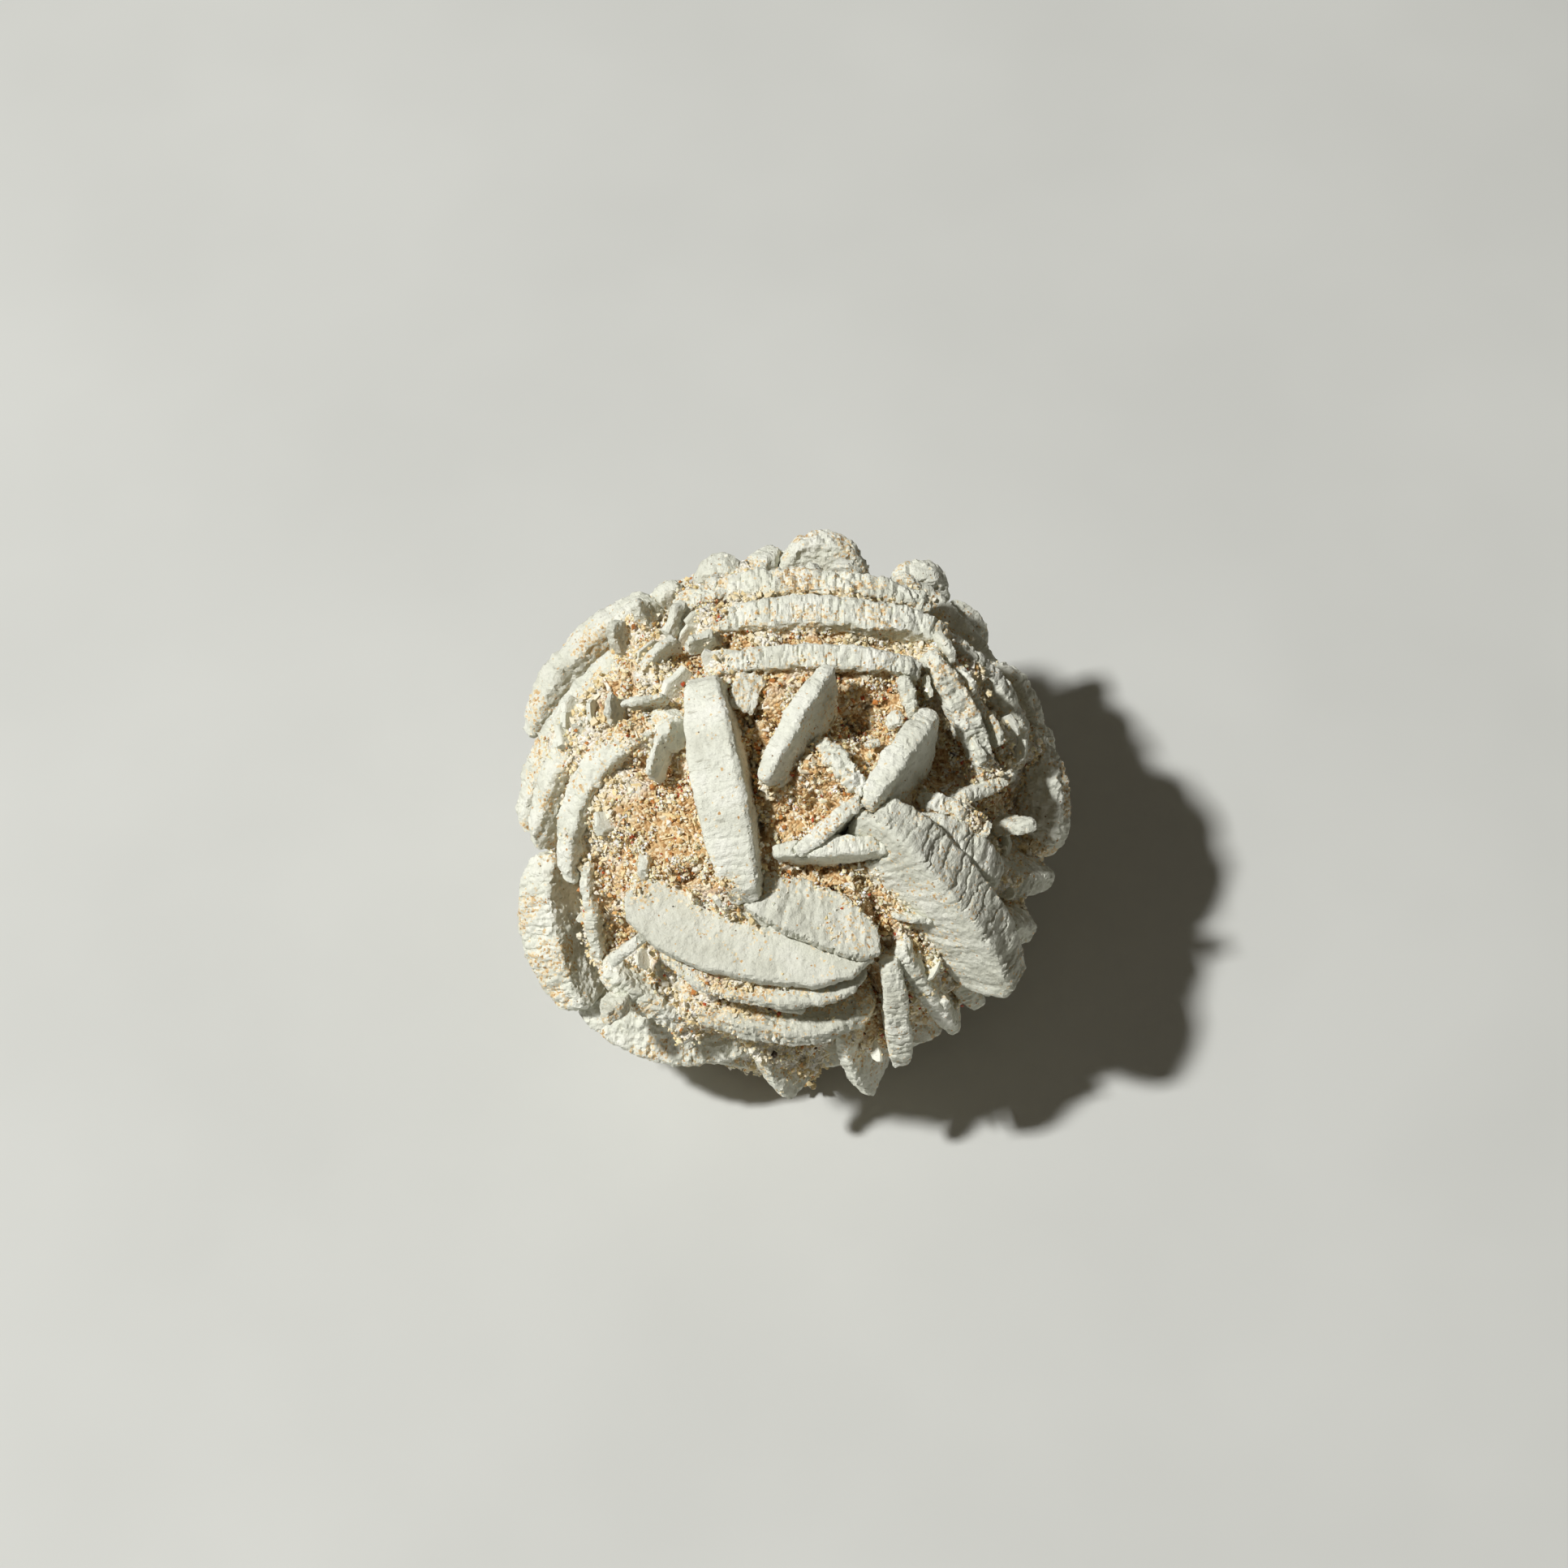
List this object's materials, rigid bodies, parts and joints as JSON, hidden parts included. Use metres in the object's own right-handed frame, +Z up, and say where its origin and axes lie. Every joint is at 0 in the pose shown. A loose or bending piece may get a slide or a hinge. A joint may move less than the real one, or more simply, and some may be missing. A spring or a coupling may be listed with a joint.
{
  "type": "gypsum sand rose",
  "caption": "Rounded rosette of intergrown gypsum crystal blades on a lump of cemented sand, resting on a worn flat patch.",
  "frame": {"origin": "centre of the rose's bounding box, on the surface that it rests on", "axes": "+Z up, -Y towards the front; the rose's open face looks up and to the front, 30 degrees from +Z"},
  "size_m": [0.0532, 0.0508, 0.0486],
  "materials": {
    "gypsum": "chalky, matt, striated across the rims",
    "cemented_sand": "granular, matt with glints from the grains"
  },
  "bodies": {
    "root": {"back_high": "gypsum", "back_left_high": "gypsum", "back_left_low": "gypsum", "back_low": "gypsum", "back_middle": "gypsum", "back_right_high": "gypsum", "back_right_low": "gypsum", "corner_base": "gypsum", "corner_edge": "gypsum", "corner_slab": "gypsum", "crown_end": "gypsum", "crown_far_left": "gypsum", "crown_far_right": "gypsum", "crown_left": "gypsum", "crown_middle": "gypsum", "crown_middle_left": "gypsum", "crown_right": "gypsum", "crusted_ridge": "gypsum", "dagger": "gypsum", "front_foot": "gypsum", "hollow_rib": "gypsum", "left_fin": "gypsum", "left_foot": "gypsum", "left_low": "gypsum", "left_petal": "gypsum", "left_petal_outer": "gypsum", "left_petal_second": "gypsum", "left_petal_third": "gypsum", "level_wall": "gypsum", "long_ridge": "gypsum", "long_slab": "gypsum", "low_ridge": "gypsum", "lower_base": "gypsum", "lower_shelf": "gypsum", "lowest_fin": "gypsum", "main_crescent": "gypsum", "middle_fin": "gypsum", "outer_ridge": "gypsum", "right_fin": "gypsum", "right_foot": "gypsum", "right_low": "gypsum", "right_middle": "gypsum", "right_petal": "gypsum", "right_petal_lower": "gypsum", "right_petal_outer": "gypsum", "right_shelf": "gypsum", "right_wall": "gypsum", "sand_matrix": "cemented_sand", "second_crescent": "gypsum", "shaded_fin": "gypsum", "short_ridge": "gypsum", "slanting_wall": "gypsum", "tall_wall": "gypsum", "thin_wall": "gypsum", "third_crescent": "gypsum", "top_crescent": "gypsum", "top_petal": "gypsum", "top_petal_second": "gypsum", "top_petal_third": "gypsum", "upper_slab": "gypsum"}
  },
  "joints": []
}
